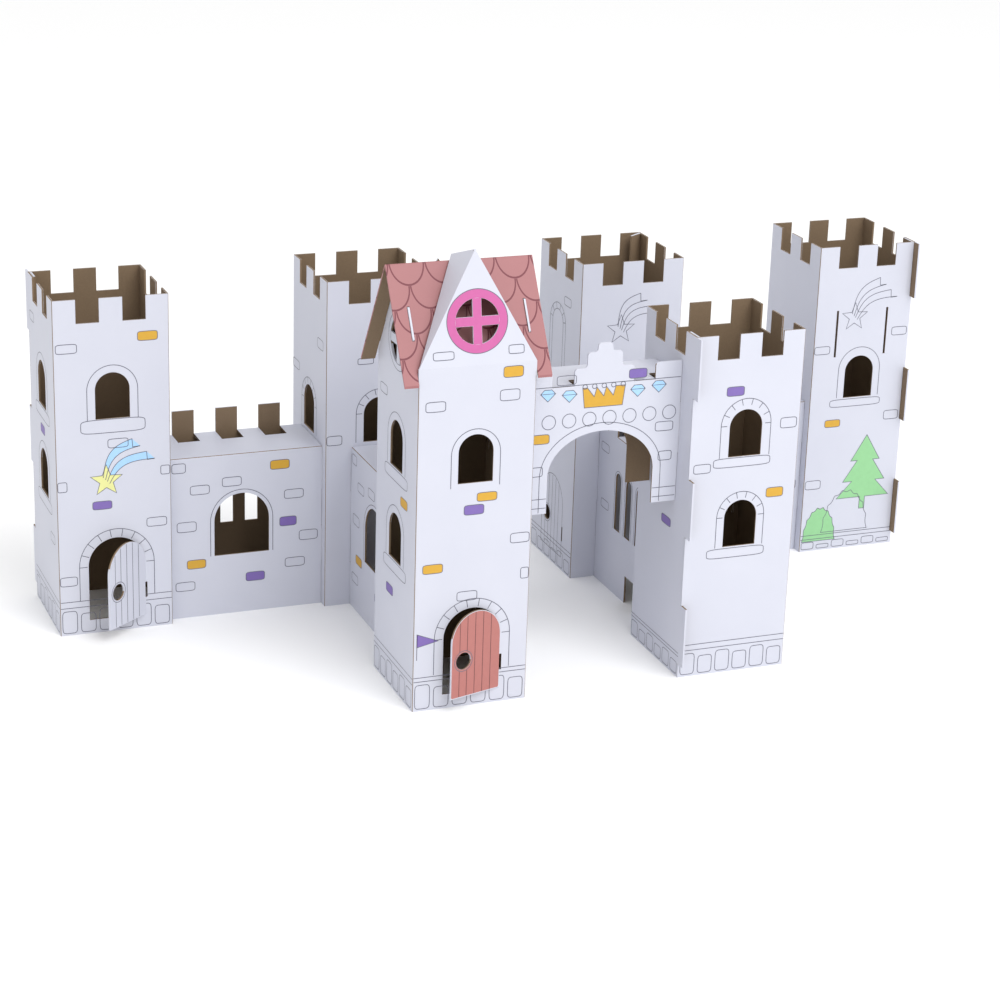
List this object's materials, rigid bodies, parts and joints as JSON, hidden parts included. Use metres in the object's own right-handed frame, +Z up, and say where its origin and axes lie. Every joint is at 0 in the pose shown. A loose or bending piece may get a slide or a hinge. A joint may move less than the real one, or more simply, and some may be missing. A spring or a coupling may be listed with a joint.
{
  "type": "cardboard play castle",
  "caption": "Folded cardboard play castle: square towers with battlements, box walls, an arched gate bridge and a gabled gatehouse with a roof.",
  "frame": {"origin": "middle of the castle's tower plan, on the floor", "axes": "+Z up, the gate looks towards -Y, +X to the right seen from the front"},
  "size_m": [0.82, 0.3622, 0.3848],
  "materials": {
    "board": "matt printed liner outside, bare kraft inside"
  },
  "bodies": {
    "root": {"gate_bridge": "board", "gatehouse_roof": "board", "tower_left": "board", "tower_back_left": "board", "tower_gatehouse": "board", "tower_back_right": "board", "tower_front_right": "board", "tower_right": "board", "wall_left": "board", "wall_side_left": "board", "wall_side_right": "board", "wall_right": "board"}
  },
  "joints": []
}
